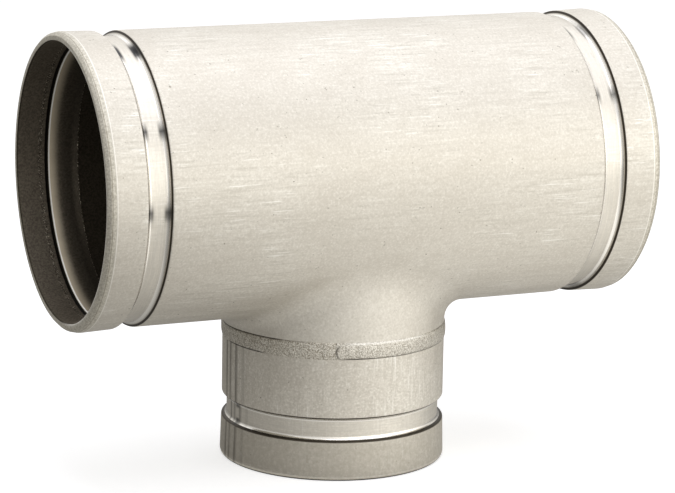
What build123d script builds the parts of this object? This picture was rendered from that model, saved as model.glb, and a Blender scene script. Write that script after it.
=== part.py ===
"""Grooved reducing tee: a stainless pipe with a drawn outlet and a grooved nipple welded to it.

Frame, in millimetres: the origin is the centre of the nipple's end face, +Z runs up the outlet's
axis to the run pipe above it, and +X runs along the run pipe. A pipe's half section is drawn with
the distance along the pipe as X and the radius as Y, and turned about X.
"""
import math
import os
from dataclasses import dataclass

from build123d import *

# Overall sizes
RUN_LENGTH = 230.0  # run pipe, end to end
RUN_HEIGHT = 117.0  # from the nipple's end face to the run pipe's axis

# Weld between the drawn collar and the nipple
COLLAR_HEIGHT = 4.4  # from the run pipe's lowest line to the trimmed end of the collar
WELD_WIDTH = 6.8
WELD_CROWN = 0.5  # how far the middle of the bead stands out of the pipe
WELD_TOE = 0.1  # how far its two edges stand out
WELD_SLOPE = 2.0  # length along the pipe of the slope from an edge to the middle

# Drawn outlet
CROTCH_RADIUS = 7.5  # outside, where the run pipe turns into the collar

# Form of a rolled groove, the same on every end
FLANK_ANGLE = 65.0  # degrees between a groove's flank and the pipe's axis
RIDGE_SPREAD = 2.2  # how far each slope of the ridge inside reaches to both sides of the groove's edge


@dataclass
class GroovedEnd:
    """Sizes of a pipe with a rolled groove; lengths run from the end face."""

    diameter: float
    wall: float
    lip_length: float  # where the gasket seals
    groove_width: float
    groove_depth: float
    bevel_length: float
    bevel_depth: float

    @property
    def radius(self):
        return self.diameter / 2

    @property
    def bore_radius(self):
        return self.diameter / 2 - self.wall

    @property
    def groove_end(self):
        return self.lip_length + self.groove_width


RUN_PIPE = GroovedEnd(
    diameter=114.3,
    wall=3.05,
    lip_length=15.88,
    groove_width=8.74,
    groove_depth=2.11,
    bevel_length=3.5,
    bevel_depth=0.9,
)
OUTLET_PIPE = GroovedEnd(
    diameter=88.9,
    wall=3.05,
    lip_length=15.88,
    groove_width=8.74,
    groove_depth=1.98,
    bevel_length=1.2,
    bevel_depth=0.6,
)

COLLAR_END = RUN_HEIGHT - RUN_PIPE.radius - COLLAR_HEIGHT  # height of the weld's upper edge
NIPPLE_LENGTH = COLLAR_END - WELD_WIDTH
PAST_END = 5.0  # how far a bore's cutter runs out of the pipe


def end_outline(pipe):
    """Outside of a grooved end as points (distance, radius), from the end face to past the groove.

    The flanks cross half the groove's depth at the lip length and at the groove's end.
    """
    half_flank = pipe.groove_depth / math.tan(math.radians(FLANK_ANGLE)) / 2
    root_line = pipe.radius - pipe.groove_depth
    return [
        (0, pipe.radius - pipe.bevel_depth),
        (pipe.bevel_length, pipe.radius),
        (pipe.lip_length - half_flank, pipe.radius),
        (pipe.lip_length + half_flank, root_line),
        (pipe.groove_end - half_flank, root_line),
        (pipe.groove_end + half_flank, pipe.radius),
    ]


def bore_outline(pipe):
    """Bore of a grooved end as points (distance, radius), with the low ridge the groove pushes up."""
    crest_line = pipe.bore_radius - pipe.groove_depth
    return [
        (-PAST_END, pipe.bore_radius),
        (pipe.lip_length - RIDGE_SPREAD, pipe.bore_radius),
        (pipe.lip_length + RIDGE_SPREAD, crest_line),
        (pipe.groove_end - RIDGE_SPREAD, crest_line),
        (pipe.groove_end + RIDGE_SPREAD, pipe.bore_radius),
    ]


def turned(points):
    """Solid turned about X from an outline that runs from left to right above the axis."""
    first, last = points[0], points[-1]
    return revolve(make_face(Polyline(*points, (last[0], 0), (first[0], 0), close=True)), Axis.X)


def upright(solid):
    """Turns what was drawn along +X to run up +Z."""
    return Rot(0, -90, 0) * solid


def turned_run(outline):
    """Solid on the run pipe's axis from the outline of one end, which both ends share."""
    half = RUN_LENGTH / 2
    left = [(x - half, y) for x, y in outline]
    right = [(half - x, y) for x, y in reversed(outline)]
    return Pos(0, 0, RUN_HEIGHT) * turned(left + right)


def joined_with_fillet(run, outlet, radius):
    """The run and the outlet as one solid, with a fillet where they meet."""
    joined = run + outlet
    return fillet(new_edges(run, outlet, combined=joined), radius)


def outlet_core(radius):
    """Cylinder on the outlet's axis, from below the weld to the run pipe's axis."""
    foot = NIPPLE_LENGTH - CROTCH_RADIUS
    return Pos(0, 0, foot) * extrude(Circle(radius), RUN_HEIGHT - foot)


def slab(low, high):
    """Block that holds everything of the tee between two heights."""
    return Pos(0, 0, low) * extrude(Rectangle(2 * RUN_LENGTH, 2 * RUN_LENGTH), high - low)


def run_body(outside, inside):
    """Run pipe with the collar drawn from it, trimmed flat where the weld starts."""
    return (outside & slab(COLLAR_END, RUN_HEIGHT + RUN_PIPE.diameter)) - inside


def weld_bead(outside, inside):
    """Crowned ring that fills the gap between the collar and the nipple."""
    edge_line = OUTLET_PIPE.radius + WELD_TOE
    crown_line = OUTLET_PIPE.radius + WELD_CROWN
    crown = [
        (NIPPLE_LENGTH, edge_line),
        (NIPPLE_LENGTH + WELD_SLOPE, crown_line),
        (COLLAR_END - WELD_SLOPE, crown_line),
        (COLLAR_END, edge_line),
    ]
    return upright(turned(crown)) + (outside & slab(NIPPLE_LENGTH, COLLAR_END)) - inside


def outlet_nipple():
    outside = turned(end_outline(OUTLET_PIPE) + [(NIPPLE_LENGTH, OUTLET_PIPE.radius)])
    inside = turned(bore_outline(OUTLET_PIPE) + [(NIPPLE_LENGTH + PAST_END, OUTLET_PIPE.bore_radius)])
    return upright(outside - inside)


# Wall of the run pipe and its drawn collar: the outside less the inside, both carried on past the weld
drawn_outside = joined_with_fillet(
    turned_run(end_outline(RUN_PIPE)), outlet_core(OUTLET_PIPE.radius), CROTCH_RADIUS
)
drawn_inside = joined_with_fillet(
    turned_run(bore_outline(RUN_PIPE)),
    outlet_core(OUTLET_PIPE.bore_radius),
    CROTCH_RADIUS + OUTLET_PIPE.wall,
)

nodes = {
    "run_body": run_body(drawn_outside, drawn_inside),
    "weld_bead": weld_bead(drawn_outside, drawn_inside),
    "outlet_nipple": outlet_nipple(),
}

os.makedirs("parts", exist_ok=True)
for name, solid in nodes.items():
    export_step(solid, f"parts/{name}.step")
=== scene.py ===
"""Dresses the grooved reducing tee: a stainless pipe with a drawn outlet and a welded nipple.

Frame, in metres: the tee stands on the nipple's end at z = 0, +Z runs up the outlet's axis to the
run pipe, and +X runs along the run pipe.
"""

import math

import bmesh
import bpy
import numpy as np
from mathutils import Matrix, Vector


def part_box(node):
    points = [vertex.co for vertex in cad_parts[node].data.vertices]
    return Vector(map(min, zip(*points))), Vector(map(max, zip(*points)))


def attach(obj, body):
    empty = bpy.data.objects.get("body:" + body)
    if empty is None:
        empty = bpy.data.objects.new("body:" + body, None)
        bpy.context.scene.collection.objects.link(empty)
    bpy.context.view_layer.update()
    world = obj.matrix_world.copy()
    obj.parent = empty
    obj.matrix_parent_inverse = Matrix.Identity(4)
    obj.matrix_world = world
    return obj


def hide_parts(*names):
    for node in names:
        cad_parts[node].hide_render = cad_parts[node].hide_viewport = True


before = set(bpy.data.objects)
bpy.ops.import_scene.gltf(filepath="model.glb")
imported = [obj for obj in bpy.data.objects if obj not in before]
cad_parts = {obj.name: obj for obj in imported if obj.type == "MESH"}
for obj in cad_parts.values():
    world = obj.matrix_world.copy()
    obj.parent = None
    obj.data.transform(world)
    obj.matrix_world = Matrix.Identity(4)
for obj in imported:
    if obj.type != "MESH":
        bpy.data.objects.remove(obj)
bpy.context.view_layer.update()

# ---------------------------------------------------------------------------------------------
# Run pipe with its drawn collar. One piece of thin stainless pipe, pickled dull: the collar is
# pulled out of its side through a die, and a roller presses a burnished groove near each end,
# which pushes up a low ridge inside.
# ---------------------------------------------------------------------------------------------
MM = 0.001
run_low, run_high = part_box("run_body")
RUN_RADIUS = (run_high.y - run_low.y) / 2
RUN_HALF = run_high.x
RUN_AXIS = run_high.z - RUN_RADIUS
COLLAR_END = run_low.z
RUN_WALL = 3.05 * MM
OUTLET_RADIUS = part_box("outlet_nipple")[1].x
CROTCH_RADIUS = 7.5 * MM  # on the run's lowest line
CHEEK_RADIUS = 24.0 * MM  # half way round, where the two walls meet at a flat angle
END_LENGTH = 33 * MM  # what is turned as one profile at each end
AROUND = 160  # points round the pipe
ALONG = 48  # points along the top line between the two ends
TURN_STEP = math.radians(11)  # between the points of a rounded corner
LONGEST_SIDE = 1.2  # of a turned outline, in millimetres


def on_pipe(x, angle, radius):
    """Point round the run's axis: x as it is, y and z from the angle off the lowest line."""
    x, angle, radius = np.broadcast_arrays(x, angle, radius)
    return np.stack([x, radius * np.sin(angle), RUN_AXIS - radius * np.cos(angle)], -1)


def crotch_ball(phi):
    """Radius and centre of a ball rolling in the corner between the two pipes, at angle phi.

    The radius grows with the fourth power of the sine. The centre keeps the outlet's radius plus
    the ball's from the outlet's axis, and the run's radius plus the ball's from the run's axis.
    """
    ball = CROTCH_RADIUS + (CHEEK_RADIUS - CROTCH_RADIUS) * np.sin(phi) ** 4
    y = (OUTLET_RADIUS + ball) * np.sin(phi)
    drop = np.sqrt((RUN_RADIUS + ball) ** 2 - y**2)
    return ball, np.stack([(OUTLET_RADIUS + ball) * np.cos(phi), y, RUN_AXIS - drop], -1)


def crotch(phi, inset, rows):
    """Rows from the ball's line on the run down its arc and the outlet's wall to the collar's end.

    The arc turns from the direction to the run's axis to the direction to the outlet's axis, and
    each column is cut at the collar's end and shared out evenly by length.
    """
    ball, centre = crotch_ball(phi)
    ball = ball + inset
    to_run = np.stack([0 * phi, -centre[:, 1], RUN_AXIS - centre[:, 2]], -1)
    to_run /= np.linalg.norm(to_run, axis=1, keepdims=True)
    to_outlet = np.stack([-np.cos(phi), -np.sin(phi), 0 * phi], -1)
    turn = np.arccos((to_run * to_outlet).sum(1))
    over = np.clip((COLLAR_END - centre[:, 2]) * np.sin(turn) / (ball * to_run[:, 2]), 0, 1)
    arc = turn - np.arcsin(over)
    wall = np.maximum(centre[:, 2] - COLLAR_END, 0)
    way = np.linspace(0, 1, rows)[:, None] * (ball * arc + wall)
    angle = np.minimum(way / ball, arc)[..., None]
    turn = turn[:, None]
    swept = (np.sin(turn - angle) * to_run + np.sin(angle) * to_outlet) / np.sin(turn)
    points = centre + ball[:, None] * swept
    points[..., 2] -= np.maximum(way - ball * arc, 0)
    return points


SHARE_OF_SIDE = 0.49  # what one rounded corner may take of a side


def rounded(corners, step):
    """Outline through corners (distance, radius, corner radius), each corner replaced by its arc.

    The arc touches both sides, and gets a point for every step of turn. It takes up at most half
    of either side. Each of its points is the two ends' arms mixed by the sines of the angles left
    and done.
    """
    corners = np.array(corners, float)
    outline = [corners[0, :2]]
    for before, corner, after in zip(corners, corners[1:], corners[2:]):
        back, on = before[:2] - corner[:2], after[:2] - corner[:2]
        back_length, on_length = np.linalg.norm(back), np.linalg.norm(on)
        back, on = back / back_length, on / on_length
        half = np.arccos(np.clip(back @ on, -1, 1)) / 2
        cut = min(corner[2] / math.tan(half), SHARE_OF_SIDE * min(back_length, on_length))
        radius = cut * math.tan(half)
        middle = corner[:2] + (back + on) / np.linalg.norm(back + on) * radius / math.sin(half)
        start, end = corner[:2] + back * cut - middle, corner[:2] + on * cut - middle
        sweep = math.pi - 2 * half
        count = max(2, math.ceil(sweep / step) + 1)
        share = np.linspace(0, 1, count)[:, None]
        arc = np.sin((1 - share) * sweep) * start + np.sin(share * sweep) * end
        outline += list(middle + arc / math.sin(sweep))
    outline.append(corners[-1, :2])
    return np.array(outline)


def spaced(outline, gap):
    """The same outline with points added so that none are further apart than gap."""
    sides = zip(outline, outline[1:], np.linalg.norm(np.diff(outline, axis=0), axis=1))
    parts = [np.linspace(a, b, max(2, math.ceil(side / gap) + 1))[:-1] for a, b, side in sides]
    return np.concatenate(parts + [outline[-1:]])


def window(value, start, end, soft):
    """1 between start and end; each side falls to 0 over soft, as 3 t squared less 2 t cubed."""
    rise = np.clip((value - start) / soft + 0.5, 0, 1)
    fall = np.clip((end - value) / soft + 0.5, 0, 1)
    return rise * rise * (3 - 2 * rise) * fall * fall * (3 - 2 * fall)


def strips(points, marks):
    """Points, quads and marks of a grid: quads between its rows, which close on themselves."""
    rows, columns = points.shape[:2]
    index = np.arange(rows * columns).reshape(rows, columns)
    on = np.roll(index, -1, 1)
    quads = np.stack([index[:-1], on[:-1], on[1:], index[1:]], -1)
    spread = {k: np.broadcast_to(v, (rows, columns)).reshape(-1) for k, v in marks.items()}
    return points.reshape(-1, 3), quads.reshape(-1, 4), spread


def set_marks(mesh, marks):
    """Writes each mark, a number for every point, as an attribute of the mesh."""
    for mark, values in marks.items():
        layer = mesh.attributes.new(mark, "FLOAT", "POINT")
        layer.data.foreach_set("value", values.astype(np.float32))


def in_scene(name, data):
    """New object in the scene from a mesh, a light or a camera."""
    obj = bpy.data.objects.new(name, data)
    bpy.context.scene.collection.objects.link(obj)
    return obj


SAME_POINT = 2e-7  # metres; points of two blocks that are nearer are one


def piece(name, blocks):
    """Mesh object from blocks of points, quads and marks. Points that coincide become one."""
    counts = np.cumsum([0] + [len(points) for points, _, _ in blocks])
    points = np.concatenate([points for points, _, _ in blocks])
    quads = np.concatenate([quads + n for (_, quads, _), n in zip(blocks, counts)])
    marks = {k: np.concatenate([marks[k] for _, _, marks in blocks]) for k in blocks[0][2]}
    keys = np.round(points / SAME_POINT).astype(np.int64)
    _, first, merged = np.unique(keys, axis=0, return_index=True, return_inverse=True)
    quads = merged.reshape(-1)[quads]
    mesh = bpy.data.meshes.new(name)
    mesh.vertices.add(len(first))
    mesh.vertices.foreach_set("co", points[first].astype(np.float32).ravel())
    mesh.loops.add(quads.size)
    mesh.loops.foreach_set("vertex_index", quads.astype(np.int32).ravel())
    mesh.polygons.add(len(quads))
    mesh.polygons.foreach_set("loop_start", np.arange(0, quads.size, 4, dtype=np.int32))
    mesh.polygons.foreach_set("use_smooth", np.ones(len(quads), bool))
    mesh.update(calc_edges=True)
    mesh.validate()
    set_marks(mesh, {k: v[first] for k, v in marks.items()})
    return in_scene(name, mesh)


# Rolled end of a pipe, in millimetres from the end face; both pipe sizes share it
LIP = 15.88
GROOVE_END = LIP + 8.74
HALF_FLANK = 0.48
CREASE = 11.7  # where the lip's bore ends
ARCH_FOOT = 13.4  # edge of the low arch that the roller pushes up inside
ARCH_TOP = 17.4, 22.2
ARCH_END = 25.8


def grooved_end(radius, wall, groove, bevel, flare, length):
    """Half of a pipe end's section: from length along the outside, round the end, back inside.

    Outside: a rounded bevel, the lip, which flares a little towards the end, and a flat-bottomed
    groove with leaning flanks. Inside: the lip's bore, a small crease, the low arch that the roller
    pushes up, and the plain bore. The bevel is given as how far its steep part and its slope reach
    along the pipe, and how deep it is. Each corner is (distance, radius, how much it is rounded).
    All is in millimetres; the outline is returned in metres and its marks as they are.
    """
    near, far = LIP, GROOVE_END
    root, bore, crest = radius - groove, radius - wall, radius - wall - groove
    steep, slope, drop = bevel
    outline = spaced(rounded([
        (length, radius, 0),
        (far + HALF_FLANK, radius, 0.8),
        (far - HALF_FLANK, root, 1.7),
        (near + HALF_FLANK, root, 1.7),
        (near - HALF_FLANK, radius + 0.3 * flare, 0.7),
        (slope, radius + flare, 3.0),
        (steep, radius + flare - 0.3 * drop, 0.8),
        (0, radius + flare - drop, 0.25),
        (0, bore, 0.5),
        (CREASE, bore, 0.4),
        (CREASE + 0.8, bore + 0.25, 0.15),
        (ARCH_FOOT, bore - 0.75, 0.5),
        (ARCH_TOP[0], crest, 6.0),
        (ARCH_TOP[1], crest, 6.0),
        (ARCH_END, bore, 1.0),
        (length, bore, 0),
    ], TURN_STEP), LONGEST_SIDE)
    from_end, height = outline[:, :1], outline[:, 1:]
    mouth_edge = window(height, bore + 0.02, bore + 0.5, 0.1) * (from_end < 0.6)
    marks = {
        "from_end": from_end,
        "bore": (height < bore + 0.3).astype(float),
        "edge": mouth_edge,
        "straight": np.ones_like(mouth_edge),
    }
    return outline * MM, marks


def at_angles(angles, soft, places):
    """Share at each angle of the places (middle, half width, share), in degrees with soft sides."""
    degrees = np.degrees(angles)
    shares = (share * window(degrees, at - wide, at + wide, soft) for at, wide, share in places)
    return sum(shares)[None]


# The run's ends, in millimetres: how deep the groove is, the bevel, and how far the lip flares
RUN_GROOVE = 2.11
RUN_BEVEL = 1.1, 3.3, 1.6
RUN_FLARE = 0.55


def run_end(side, smears):
    """One end of the run: the section turned round the run's axis, on the side -1 or 1 of x.

    At the places given, in degrees off the lowest line, a dark reflection is painted in the groove.
    A highlight is painted on the edge of the mouth, on the front half alone.
    """
    outline, marks = grooved_end(
        RUN_RADIUS / MM, RUN_WALL / MM, RUN_GROOVE, RUN_BEVEL, RUN_FLARE, END_LENGTH / MM
    )
    angles = np.linspace(-np.pi, np.pi, AROUND + 1)[:-1]
    points = on_pipe(side * (RUN_HALF - outline[:, :1]), angles[None], outline[:, 1:])
    marks["smear"] = at_angles(angles, 6.0, smears)
    marks["edge"] = marks["edge"] * at_angles(angles, 15.0, [(-90, 82, 1.0)])
    marks["line"] = 0.0
    return strips(points, marks)


# Marks tell the steel where it is: how far from the end, in the bore, on the mouth's edge with its
# painted highlight, on a painted dark reflection, on a dark line, partly painted reflection, and on
# straight pipe. These are the marks of the run's plain middle
PLAIN = {"from_end": 100.0, "bore": 0.0, "edge": 0.0, "smear": 0.0, "line": 0.0, "straight": 1.0}


def run_middle(inset, saddle_rows, crotch_rows):
    """Middle of the run, outside or inset from it: from the collar's end to the two turned ends.

    Each column starts at one angle round the outlet. It follows the rolled corner up to the run,
    then a straight line, on the pipe unrolled flat, to its place on the edge of the middle.
    """
    half = RUN_HALF - END_LENGTH
    side = np.linspace(-np.pi, np.pi, AROUND + 1)
    top = np.linspace(-half, half, ALONG + 1)
    edge_x = np.concatenate([0 * side[:-1] + half, top[::-1][:-1], 0 * side[:-1] - half, top[:-1]])
    edge_angle = np.concatenate(
        [side[:-1], 0 * top[:-1] + np.pi, side[::-1][:-1], 0 * top[:-1] - np.pi]
    )
    phi = np.arctan2(edge_angle * RUN_RADIUS, edge_x)
    ball, centre = crotch_ball(phi)
    start_x = centre[:, 0]
    start_angle = np.arcsin(centre[:, 1] / (RUN_RADIUS + ball))
    share = np.linspace(0, 1, saddle_rows)[:, None]
    x = start_x + share * (edge_x - start_x)
    angle = start_angle + share * (edge_angle - start_angle)
    saddle = on_pipe(x, angle, RUN_RADIUS - inset)
    neck = crotch(phi, inset, crotch_rows)[::-1]
    points = np.concatenate([neck[:-1], saddle])
    straight = np.concatenate([np.zeros((crotch_rows - 1, 1)), np.clip(5 * share, 0, 1)])
    return strips(points, {**PLAIN, "bore": float(inset > 0), "straight": straight})


outside = run_middle(0.0, 44, 28)
inside = run_middle(RUN_WALL, 24, 20)
columns = 2 * (AROUND + ALONG)  # of the middle; the first row of each wall lies on the collar's end
collar_face = strips(np.stack([outside[0][:columns], inside[0][:columns]]), PLAIN)
left_end = run_end(-1, [
    (-87, 2.2, 1.0), (-119, 2.2, 1.0), (-161, 5.5, 1.0), (40, 4.0, 0.6), (118, 4.0, 0.6)
])
right_end = run_end(1, [(-124, 2.2, 0.8), (-160, 5.0, 0.6), (-20, 5.0, 0.5), (75, 4.0, 0.6)])
run_body = piece("run_body_shell", [outside, inside, collar_face, left_end, right_end])


def face_outwards(obj):
    """Turns every face of a closed piece outwards and keeps its true corners crisp."""
    shell = bmesh.new()
    shell.from_mesh(obj.data)
    bmesh.ops.recalc_face_normals(shell, faces=shell.faces)
    shell.to_mesh(obj.data)
    shell.free()
    obj.data.set_sharp_from_angle(angle=math.radians(40))


face_outwards(run_body)


def add(tree, kind, links=(), **settings):
    """Adds a shader node; links pairs an input with a socket or a plain value."""
    node = tree.nodes.new(kind)
    for name, value in settings.items():
        setattr(node, name, value)
    for name, value in links:
        if isinstance(value, bpy.types.NodeSocket):
            tree.links.new(value, node.inputs[name])
        else:
            node.inputs[name].default_value = value
    return node


def read_marks(tree, marks):
    """Sockets of the marks that a piece's mesh carries."""
    return [add(tree, "ShaderNodeAttribute", attribute_name=mark).outputs["Fac"] for mark in marks]


def noise(tree, scale, detail=2.0, roughness=0.5, stretch=(1, 1, 1)):
    """Noise on the object's own coordinates; a stretch below 1 draws it out along that axis."""
    place = add(tree, "ShaderNodeTexCoord").outputs["Object"]
    mapped = add(tree, "ShaderNodeMapping", [("Vector", place), ("Scale", stretch)])
    return add(tree, "ShaderNodeTexNoise", [
        ("Vector", mapped.outputs["Vector"]),
        ("Scale", scale), ("Detail", detail), ("Roughness", roughness),
    ]).outputs["Fac"]


def between(tree, value, low, high, to_low=0.0, to_high=1.0):
    """Value carried smoothly from the range low..high to the range to_low..to_high."""
    return add(tree, "ShaderNodeMapRange", [
        ("Value", value),
        ("From Min", low), ("From Max", high), ("To Min", to_low), ("To Max", to_high),
    ], interpolation_type="SMOOTHSTEP").outputs["Result"]


def maths(tree, operation, first, second, third=None):
    """Result of one Math node on two values, or on three where the operation takes a third."""
    links = [(0, first), (1, second)] + ([(2, third)] if third is not None else [])
    return add(tree, "ShaderNodeMath", links, operation=operation).outputs[0]


def product(tree, first, *others):
    """All the values multiplied."""
    for other in others:
        first = maths(tree, "MULTIPLY", first, other)
    return first


def band(tree, value, start, end, soft):
    """1 where value lies between start and end, with both sides soft."""
    rise = between(tree, value, start - soft / 2, start + soft / 2)
    fall = between(tree, value, end - soft / 2, end + soft / 2, 1.0, 0.0)
    return product(tree, rise, fall)


def tint(tree, share, first, second):
    """Mixes two colours by share: 0 gives the first and 1 the second."""
    mix = add(tree, "ShaderNodeMix", data_type="RGBA")
    ends = ("Factor", "VALUE", share), ("A", "RGBA", first), ("B", "RGBA", second)
    for name, kind, value in ends:
        socket = next(s for s in mix.inputs if s.name == name and s.type == kind)
        if isinstance(value, bpy.types.NodeSocket):
            tree.links.new(value, socket)
        else:
            socket.default_value = value if kind == "VALUE" else (*value, 1.0)
    return next(s for s in mix.outputs if s.type == "RGBA")


def coated(tree, base, coats):
    """Colour of the base under its coats (share, colour), each mixed over the ones before it."""
    for share, colour in coats:
        base = tint(tree, share, base, colour)
    return base


def new_material(name):
    """Material with its node tree and its main shader."""
    material = bpy.data.materials.new(name)
    material.use_nodes = True
    return material, material.node_tree, material.node_tree.nodes["Principled BSDF"]


BARE_EDGE = (0.90, 0.88, 0.82)  # colour of a highlight painted on an edge


def pickled_steel(name, axis, bevel, lined, grainy, rim_edge, lip_stain, burr, bite):
    """Pickled stainless pipe, drawn along axis (0 for x, 2 for z): dull, mottled, faintly lined.

    The groove is burnished by the roller, with lines round the pipe. The bore carries painted shade.
    Lined and grainy are the shares of the drawing lines and of the grain, rim_edge how bright the
    highlight painted on the corner of the mouth is, lip_stain how dark the shade painted on the lip
    is, burr how dark the shadow painted at the very end is, where the pipe stands on the floor, and
    bite how far the painted shade along a groove's shoulder runs down its flank. Bevel and bite are
    in millimetres, like all distances from the end.
    """
    material, tree, steel = new_material(name)
    from_end, bore, edge, smear, line, straight = read_marks(tree, PLAIN)

    def stretch(along, across=1.0):
        """Stretch of a pattern along the drawing axis and across it."""
        return [along if i == axis else across for i in range(3)]

    clouds = noise(tree, 30.0, 4.0, 0.6)
    streaks = noise(tree, 180.0, 5.0, 0.65, stretch(0.1))
    lines = noise(tree, 900.0, 3.0, 0.6, stretch(0.06))
    mottle = noise(tree, 600.0, 3.0, 0.6)
    grains = noise(tree, 1250.0, 2.0, 0.6)
    rings = noise(tree, 2600.0, 2.0, 0.6, stretch(1.0, 0.04))
    scuffs = noise(tree, 1700.0, 2.0, 0.5, stretch(0.04))
    pits = noise(tree, 700.0, 2.0, 0.5, (0.9, 1.0, 1.1))
    dots = noise(tree, 2300.0, 0.0, 0.5)

    outer = maths(tree, "SUBTRACT", 1.0, bore)

    def inside(start, end, soft):
        """Share of a ring in the bore, between two distances from the end."""
        return product(tree, band(tree, from_end, start, end, soft), bore)

    def outside(start, end, soft):
        """Share of a ring round the outside, between two distances from the end."""
        return product(tree, band(tree, from_end, start, end, soft), outer)

    def both_sides(low, high, soft):
        """Rings on the outside at the groove's two sides, from low to high in from each of them."""
        first = outside(LIP + low, LIP + high, soft)
        return maths(tree, "ADD", first, outside(GROOVE_END - high, GROOVE_END - low, soft))

    def grained(dark, pale, low=0.3):
        """Colour that runs with the grain from a dark one to a pale one."""
        return tint(tree, between(tree, grains, low, 1 - low), dark, pale)

    groove = outside(LIP - 0.3, GROOVE_END + 0.3, 0.4)
    # Roots: a painted highlight in the colour, and a lower roughness
    roots = both_sides(0.15, 1.3, 0.35)
    # Corners: where the painted dark reflections lie
    corners = both_sides(-0.3, 2.2, 1.2)
    # Shoulders: painted shade along each edge of the groove
    shoulders = maths(
        tree, "ADD",
        outside(LIP - 0.52 - 0.8 * bite, LIP - 0.02 + bite, 0.12),
        outside(GROOVE_END + 0.02 - bite, GROOVE_END + 0.48 + 0.7 * bite, 0.12),
    )
    rolled = maths(
        tree, "ADD",
        inside(CREASE - 2.7, CREASE - 1.3, 0.3),
        inside(ARCH_END - 0.7, ARCH_END - 0.1, 0.2),
    )
    hump = inside(ARCH_FOOT - 0.4, ARCH_END - 0.5, 0.3)
    rise = product(tree, between(tree, from_end, ARCH_TOP[0] - 0.1, ARCH_FOOT), hump)
    patchy = product(tree, between(tree, clouds, 0.42, 0.6, 0.5, 1.8), straight)
    patches = between(tree, clouds, 0.45, 0.60)
    scuffed = product(tree, between(tree, scuffs, 0.61, 0.69), patches, straight, 1.8 * lined)
    blotches = between(tree, mottle, 0.35, 0.65, 0.85, 1.15)
    cloudy = tint(tree, between(tree, clouds, 0.3, 0.7), (0.60, 0.565, 0.50), (0.67, 0.64, 0.575))
    skin = coated(tree, cloudy, [
        # The drawn pipe: streaks, mottle, drawing lines, grain, scuffs and pits
        (between(tree, streaks, 0.35, 0.75, 0.0, 0.45), (0.73, 0.70, 0.635)),
        (between(tree, mottle, 0.35, 0.7, 0.0, 0.9 * grainy), (0.52, 0.485, 0.42)),
        (product(tree, between(tree, lines, 0.45, 0.75, 0.0, lined), patchy), (0.46, 0.43, 0.37)),
        (product(tree, between(tree, lines, 0.42, 0.25, 0.0, lined), patchy), (0.80, 0.78, 0.72)),
        (between(tree, grains, 0.42, 0.72, 0.0, grainy), (0.45, 0.42, 0.36)),
        (between(tree, grains, 0.46, 0.28, 0.0, grainy), (0.83, 0.81, 0.76)),
        (scuffed, (0.88, 0.87, 0.83)),
        (between(tree, pits, 0.70, 0.78, 0.0, 0.75), (0.22, 0.20, 0.16)),
        # The groove: burnished, with the roller's rings; painted highlights in its roots, painted
        # shade along its shoulders and painted dark reflections in its corners
        (product(tree, groove, 0.45), (0.74, 0.695, 0.61)),
        (product(tree, between(tree, rings, 0.35, 0.65, 0.0, 0.35), groove), (0.50, 0.48, 0.43)),
        (roots, (0.84, 0.81, 0.75)),
        (product(tree, shoulders, 0.95), (0.035, 0.027, 0.018)),
        (product(tree, corners, smear), (0.03, 0.03, 0.03)),
        # The end: a grainy bevel with a dark line and a painted highlight line, painted shade on the
        # lip, and a painted shadow at the very end, where the pipe stands on the floor
        (outside(-1.0, bevel * 0.9, 0.5), grained((0.50, 0.47, 0.40), (0.68, 0.65, 0.57), 0.35)),
        (product(tree, outside(bevel * 0.42, bevel * 0.42 + 0.3, 0.25), 0.6), (0.20, 0.17, 0.12)),
        # A highlight painted where the bevel meets the lip
        (product(tree, outside(bevel * 0.97, bevel * 0.97 + 0.3, 0.3), 0.7), BARE_EDGE),
        # Painted shade over the lip, mottled
        (product(tree, outside(-1.0, LIP - 0.5, 0.3), lip_stain, blotches), (0.40, 0.37, 0.31)),
        (product(tree, line, between(tree, streaks, 0.35, 0.60, 0.6, 1.0)), (0.09, 0.078, 0.06)),
        # A shadow painted at the very end, where the pipe stands on the floor
        (product(tree, outside(-1.0, 0.55, 0.2), burr), (0.02, 0.017, 0.013)),
        # The bore: painted shade, dark inside and brown at the mouth; dots where the roller's edges
        # ran
        (bore, grained((0.05, 0.042, 0.03), (0.09, 0.075, 0.055))),
        (inside(0.6, CREASE - 0.1, 0.4), grained((0.16, 0.135, 0.105), (0.27, 0.235, 0.185))),
        (product(tree, rolled, between(tree, dots, 0.46, 0.54)), (0.03, 0.025, 0.015)),
        (product(tree, rolled, between(tree, dots, 0.60, 0.66)), (0.62, 0.56, 0.46)),
        # The arch in the bore, painted light and shade: dim, lighter on the side that faces the
        # mouth, a painted shadow at its foot and a painted highlight where it starts to rise
        (hump, grained((0.09, 0.078, 0.06), (0.14, 0.12, 0.092))),
        (rise, (0.56, 0.49, 0.38)),
        (inside(CREASE, ARCH_FOOT - 0.45, 0.2), (0.015, 0.013, 0.01)),
        (inside(ARCH_FOOT - 0.35, ARCH_FOOT + 0.05, 0.2), (0.93, 0.92, 0.88)),
        # A highlight painted on the corner of the mouth
        (product(tree, edge, rim_edge), BARE_EDGE),
    ])
    tree.links.new(skin, steel.inputs["Base Color"])
    steel.inputs["Metallic"].default_value = 1.0

    dull = between(tree, streaks, 0.2, 0.8, 0.54, 0.64)
    burnished = maths(tree, "MULTIPLY_ADD", groove, -0.16, dull)
    tree.links.new(maths(tree, "MULTIPLY_ADD", roots, -0.26, burnished), steel.inputs["Roughness"])

    grain = maths(tree, "ADD", product(tree, lines, 0.35), product(tree, grains, 0.65))
    plain = product(tree, grain, maths(tree, "MULTIPLY_ADD", groove, -0.6, 1.0))
    relief = maths(tree, "ADD", plain, product(tree, rings, 0.3, groove))
    bump = add(tree, "ShaderNodeBump", [
        ("Height", relief), ("Strength", 0.4), ("Distance", 0.07 * MM),
    ])
    tree.links.new(bump.outputs["Normal"], steel.inputs["Normal"])
    return material


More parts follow.
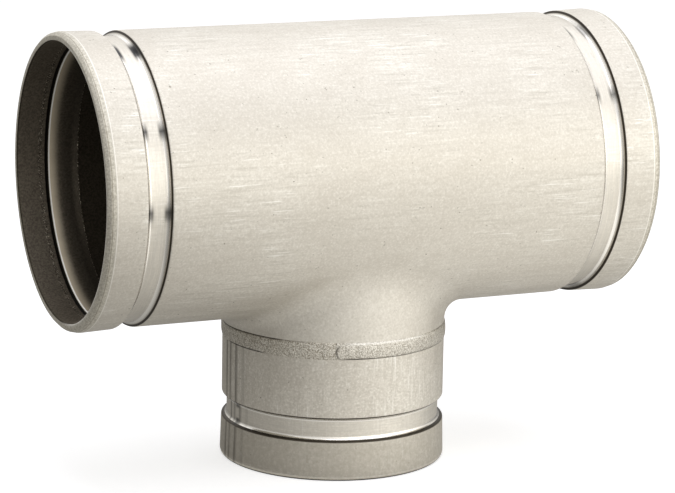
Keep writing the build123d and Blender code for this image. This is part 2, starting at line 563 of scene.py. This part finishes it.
run_body.data.materials.append(pickled_steel(
    "pickled_run_steel", axis=0, bevel=RUN_BEVEL[1],
    lined=0.32, grainy=0.3, rim_edge=0.9, lip_stain=0.0, burr=0.0, bite=0.0,
))
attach(run_body, "root")
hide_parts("run_body")

# ---------------------------------------------------------------------------------------------
# Outlet nipple. A short length of the next smaller pipe, cut square, grooved at its lower end
# like the run and butt-welded to the collar at its upper end.
# ---------------------------------------------------------------------------------------------
OUTLET_WALL = 3.05 * MM
NIPPLE_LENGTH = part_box("outlet_nipple")[1].z
NIPPLE_AROUND = 300  # points round the nipple
NIPPLE_GROOVE = 1.98  # in millimetres, as on the run
NIPPLE_BEVEL = 0.5, 1.25, 0.7
NIPPLE_FLARE = 0.6


def on_outlet(angle, radius, height):
    """Point round the outlet's axis: radius times the angle's cosine and sine, at a height."""
    angle, radius, height = np.broadcast_arrays(angle, radius, height)
    return np.stack([radius * np.cos(angle), radius * np.sin(angle), height], -1)


def around(count):
    """Angles of so many points, evenly round a full turn from +x."""
    return np.linspace(0, 2 * np.pi, count + 1)[:-1]


nipple_outline, nipple_marks = grooved_end(
    OUTLET_RADIUS / MM, OUTLET_WALL / MM,
    NIPPLE_GROOVE, NIPPLE_BEVEL, NIPPLE_FLARE, NIPPLE_LENGTH / MM,
)
nipple_angles = around(NIPPLE_AROUND)
# Painted dark reflections in the groove, then dark lines along the nipple by where they are in
# degrees: those from 176 to 194 are painted dark reflections, the others faint scratches
nipple_marks["smear"] = (
    at_angles(nipple_angles, 3.0, [(185, 2, 0.8)]) + at_angles(nipple_angles, 6.0, [(24, 4, 0.4)])
)
scratches = {176: 1.0, 181: 0.9, 187.5: 1.0, 194: 0.3, 24: 0.3, 81: 0.2, 133: 0.15, 328: 0.25}
nipple_marks["line"] = at_angles(
    nipple_angles, 2.0, [(at, 0.8, dark) for at, dark in scratches.items()]
)
nipple_rows = on_outlet(nipple_angles[None], nipple_outline[:, 1:], nipple_outline[:, :1])
welded_face = strips(nipple_rows[[-1, 0]], {k: v[[-1, 0]] for k, v in nipple_marks.items()})
nipple = piece("outlet_nipple_shell", [strips(nipple_rows, nipple_marks), welded_face])
face_outwards(nipple)
nipple.data.materials.append(pickled_steel(
    "pickled_nipple_steel", axis=2, bevel=NIPPLE_BEVEL[1],
    lined=0.25, grainy=0.45, rim_edge=0.0, lip_stain=0.55, burr=1.0, bite=0.2,
))
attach(nipple, "root")
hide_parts("outlet_nipple")

# ---------------------------------------------------------------------------------------------
# Weld. One pass of filler round the joint between the collar and the nipple: a low grainy crown
# that fills the gap through the wall, where the last length runs over the first.
# ---------------------------------------------------------------------------------------------
BEAD_AROUND = 720  # points round the bead
BEAD_ROWS = 26  # from the nipple to the collar
ROOT_ROWS = 6  # across the weld's inside
WELD_START = math.radians(-111.7)
OVERLAP = 1.3  # radians, how far the end of the pass runs over its start
CREASE_DEPTH = 0.3 * MM
ROOT_HEIGHT = 0.4 * MM
bead_angles = around(BEAD_AROUND)
collar_edge = crotch(bead_angles, 0.0, 4)[-1]
collar_radius = np.hypot(collar_edge[:, 0], collar_edge[:, 1])
across = np.linspace(0, 1, BEAD_ROWS)[:, None]
past_start = (bead_angles - WELD_START) % (2 * np.pi)
past_degrees = np.degrees(past_start)


def toe(places):
    """Strength of a line along the bead: windows (start, end, share) in degrees past its start."""
    return sum(share * window(past_degrees, start, end, 9.0) for start, end, share in places)


def bell(at, width):
    """Bell curve across the bead: e to the power of less the square of distance over width."""
    return np.exp(-((across - at) / width) ** 2)


upper_toe = bell(1.0, 0.07) * toe([
    (283, 330, 1.0), (325, 345, 0.35), (60, 120, 0.4), (180, 260, 0.6)
])
lower_toe = bell(0.0, 0.07) * toe([
    (292, 320, 1.0), (4, 20, 0.85), (22, 75, 0.5), (110, 170, 0.6)
])
bright_toe = bell(0.93, 0.06) * toe([(6, 50, 1.0), (130, 175, 0.6)])
# The face: a straight line from pipe to collar, plus a crown that is the square root of a half
# sine across, with two fine ripples round, less a crease along each toe
overlap = window(past_start, 0.0, OVERLAP, 0.02)
ripples = 0.05 * np.sin(bead_angles * 61) + 0.04 * np.sin(bead_angles * 37 + 1.3)
crown = (0.50 + 0.20 * overlap + ripples) * MM
level_face = OUTLET_RADIUS + across * (collar_radius - OUTLET_RADIUS)
creases = CREASE_DEPTH * (upper_toe + lower_toe)
face_radius = level_face + np.sin(np.pi * across) ** 0.5 * crown - creases
# The dark line where the end of the pass laps over its start, bowed by a parabola
from_start = (past_degrees + 180) % 360 - 180
bow = 14.0 * (across - 0.45) ** 2
start_line = window(from_start - bow, -0.6, 0.1, 0.6) * window(across, 0.10, 0.85, 0.2)
dark_toes = np.clip(upper_toe + lower_toe + 0.75 * start_line, 0, 1)
# The root: a half sine across that stands a little into the bore
return_across = np.linspace(1, 0, ROOT_ROWS)[:, None]
root_radius = OUTLET_RADIUS - OUTLET_WALL - ROOT_HEIGHT * np.sin(np.pi * return_across)
weld_width = COLLAR_END - NIPPLE_LENGTH
bead_face = on_outlet(bead_angles[None], face_radius, NIPPLE_LENGTH + across * weld_width)
bead_root = on_outlet(bead_angles[None], root_radius, NIPPLE_LENGTH + return_across * weld_width)
unmarked = np.zeros((ROOT_ROWS + 1, BEAD_AROUND))
weld = piece("weld_bead_ring", [strips(np.concatenate([bead_face, bead_root, bead_face[:1]]), {
    "over": overlap[None],
    "shadow": np.concatenate([dark_toes, unmarked]),
    "glint": np.concatenate([bright_toe, unmarked]),
})])
face_outwards(weld)

weld_filler, tree, filler = new_material("weld_filler")
over, shadow, glint = read_marks(tree, ("over", "shadow", "glint"))
lumps = noise(tree, 2100.0, 3.0, 0.65)
pits = noise(tree, 1900.0, 2.0, 0.6)
patches = noise(tree, 120.0, 3.0, 0.6)
lumpy = tint(tree, between(tree, lumps, 0.42, 0.58), (0.31, 0.28, 0.225), (0.74, 0.71, 0.64))
grain = coated(tree, lumpy, [
    (between(tree, patches, 0.35, 0.7, 0.0, 0.3), (0.50, 0.46, 0.39)),
    (product(tree, over, 0.15), (0.74, 0.72, 0.67)),
    (between(tree, pits, 0.64, 0.72, 0.0, 0.85), (0.10, 0.085, 0.06)),
    (shadow, (0.03, 0.025, 0.02)),
    (product(tree, glint, 0.45), (0.95, 0.94, 0.90)),
])
tree.links.new(grain, filler.inputs["Base Color"])
filler.inputs["Metallic"].default_value = 1.0
tree.links.new(between(tree, pits, 0.3, 0.7, 0.38, 0.62), filler.inputs["Roughness"])
relief = maths(tree, "ADD", product(tree, lumps, 0.7), product(tree, pits, 0.3))
bump = add(tree, "ShaderNodeBump", [("Height", relief), ("Strength", 0.75), ("Distance", 0.5 * MM)])
tree.links.new(bump.outputs["Normal"], filler.inputs["Normal"])
weld.data.materials.append(weld_filler)
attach(weld, "root")
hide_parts("weld_bead")

# ---------------------------------------------------------------------------------------------
# Studio: a pale floor that keeps the tee's shadow, a white world and one wide soft lamp overhead.
# A glowing ring with painted light, like cloth lit from the front right, stands round the set, and
# nothing sees it but the metal's reflections.
# ---------------------------------------------------------------------------------------------
FLOOR_HALF = 40.0


def seen_or_mirrored(tree):
    """1 for what is seen directly, in a reflection or through glass; 0 for what lights the tee."""
    path = add(tree, "ShaderNodeLightPath").outputs
    either = maths(tree, "MAXIMUM", path["Is Camera Ray"], path["Is Glossy Ray"])
    return maths(tree, "MAXIMUM", either, path["Is Transmission Ray"])


def bare_surface(name):
    """Material and its tree with no shader left on it, and the input that takes a new one."""
    material, tree, shader = new_material(name)
    tree.nodes.remove(shader)
    return material, tree, tree.nodes["Material Output"].inputs["Surface"]


floor_corners = [
    (x * FLOOR_HALF, y * FLOOR_HALF, 0.0) for x, y in ((-1, -1), (1, -1), (1, 1), (-1, 1))
]
floor_mesh = bpy.data.meshes.new("studio_floor")
floor_mesh.from_pydata(floor_corners, [], [(0, 1, 2, 3)])
floor = in_scene("studio_floor", floor_mesh)
paper, tree, surface = bare_surface("studio_paper")
matt = add(tree, "ShaderNodeBsdfDiffuse", [("Color", (0.80, 0.80, 0.80, 1.0))])
seen = product(tree, seen_or_mirrored(tree), 0.60)
paper_glow = add(tree, "ShaderNodeEmission", [("Strength", seen)])
both = add(tree, "ShaderNodeAddShader", [(0, matt.outputs[0]), (1, paper_glow.outputs[0])])
tree.links.new(both.outputs[0], surface)
floor_mesh.materials.append(paper)

world = bpy.data.worlds.new("studio")
bpy.context.scene.world = world
world.use_nodes = True
tree = world.node_tree
background = tree.nodes["Background"]
background.inputs["Color"].default_value = (1.0, 1.0, 1.0, 1.0)
strength = between(tree, seen_or_mirrored(tree), 0.0, 1.0, 0.5, 1.0)
tree.links.new(strength, background.inputs["Strength"])

SOFTBOX_WIDTH = 1.5
SOFTBOX_DEPTH = 1.1
SOFTBOX_RADIANCE = 1.22
softbox_light = bpy.data.lights.new("overhead_softbox", "AREA")
softbox_light.shape = "RECTANGLE"
softbox_light.size, softbox_light.size_y = SOFTBOX_WIDTH, SOFTBOX_DEPTH
softbox_light.energy = SOFTBOX_RADIANCE * math.pi * SOFTBOX_WIDTH * SOFTBOX_DEPTH
softbox_light.color = (0.90, 0.91, 1.0)
softbox = in_scene("overhead_softbox", softbox_light)
softbox.location = (0.20, 0.0, 1.2)
softbox_aim = Vector((0, 0, 0.1)) - softbox.location
softbox.rotation_euler = softbox_aim.to_track_quat("-Z", "Y").to_euler()

# The glowing cloth is turned round the outlet's axis; its glow is painted light, brightest at the
# front right. Each row is how far out and how high it is, how brightly it glows, how much of it is
# open sky, how even it is round, and its glow from behind
CLOTH_AROUND = 96
cloth_angles = around(CLOTH_AROUND)
reach, lift, lit, open_sky, even, behind = np.array([
    (0.046, 0.0006, 0.5, 0.0, 0.55, 0.0),
    (0.07, 0.001, 0.95, 0.0, 0.55, 0.0),
    (0.12, 0.001, 0.93, 0.0, 0.45, 0.0),
    (0.20, 0.001, 0.91, 0.0, 0.0, 0.0),
    (0.50, 0.001, 0.82, 0.0, 0.0, 0.0),
    (0.80, 0.02, 0.95, 0.0, 0.0, 0.0),
    (0.92, 0.12, 1.45, 0.0, 0.0, 0.0),
    (0.95, 0.35, 1.75, 0.0, 0.0, 0.3),
    (0.95, 0.65, 1.75, 0.3, 0.0, 0.8),
    (0.95, 0.9, 1.5, 0.85, 0.0, 0.6),
]).T[..., None]
LIGHT_FROM = 312  # degrees round from +x: the front right
EVEN_LIGHT_FROM = 264
BACK_LIGHT_FROM = 66


def towards(direction):
    """1 at a direction in degrees round the set, falling with the cosine to 0 on the far side."""
    return 0.5 + 0.5 * np.cos(cloth_angles - math.radians(direction))


past_light = np.sin(cloth_angles - math.radians(LIGHT_FROM)) > 0
bright_side = towards(LIGHT_FROM) ** np.where(past_light, 8.0, 3.5)
side_light = bright_side + even * (0.72 * towards(EVEN_LIGHT_FROM) ** 1.5 - bright_side)
on_cloth = (0.31 + 1.175 * side_light) * lit * (1 - open_sky)
brightness = on_cloth + open_sky + behind * towards(BACK_LIGHT_FROM) ** 3
cloth_points, cloth_quads, cloth_marks = strips(
    on_outlet(cloth_angles, reach, lift), {"glow": brightness, "cool": open_sky}
)
cloth_mesh = bpy.data.meshes.new("pale_surround")
cloth_mesh.from_pydata(cloth_points.tolist(), [], cloth_quads.tolist())
set_marks(cloth_mesh, cloth_marks)
surround = in_scene("pale_surround", cloth_mesh)
lit_cloth, tree, surface = bare_surface("lit_cloth")
glow, cool = read_marks(tree, ("glow", "cool"))
cast = tint(tree, cool, (1.0, 0.985, 0.955), (0.92, 0.93, 1.0))
shine = add(tree, "ShaderNodeEmission", [("Color", cast), ("Strength", glow)])
tree.links.new(shine.outputs[0], surface)
cloth_mesh.materials.append(lit_cloth)
surround.visible_camera = surround.visible_transmission = False
surround.visible_diffuse = surround.visible_shadow = False

# ---------------------------------------------------------------------------------------------
# Camera: a long lens a little above and to the left of the tee's front, turned a degree about its
# own axis. Back points from the aim to the camera, and level is its right side before that turn.
# ---------------------------------------------------------------------------------------------
AZIMUTH, ELEVATION, ROLL = (math.radians(v) for v in (-23.747, 12.386, 1.018))
DISTANCE = 1.18217
AIM = Vector((0.00061, 0.0, RUN_AXIS - 0.03366))
back = Vector((
    math.sin(AZIMUTH) * math.cos(ELEVATION),
    -math.cos(AZIMUTH) * math.cos(ELEVATION),
    math.sin(ELEVATION),
))
level = Vector((math.cos(AZIMUTH), math.sin(AZIMUTH), 0.0))
right = math.cos(ROLL) * level + math.sin(ROLL) * back.cross(level)
up = back.cross(right)
view = bpy.data.cameras.new("camera")
view.sensor_width = 36.0
view.lens = 158.05
view.shift_x, view.shift_y = 0.00223, 0.00194
view.clip_start, view.clip_end = 0.01, 200.0
camera = in_scene("camera", view)
turned = Matrix((right, up, back)).transposed().to_4x4()
camera.matrix_world = Matrix.Translation(AIM + back * DISTANCE) @ turned
bpy.context.scene.camera = camera
bpy.context.scene.view_settings.view_transform = "Standard"
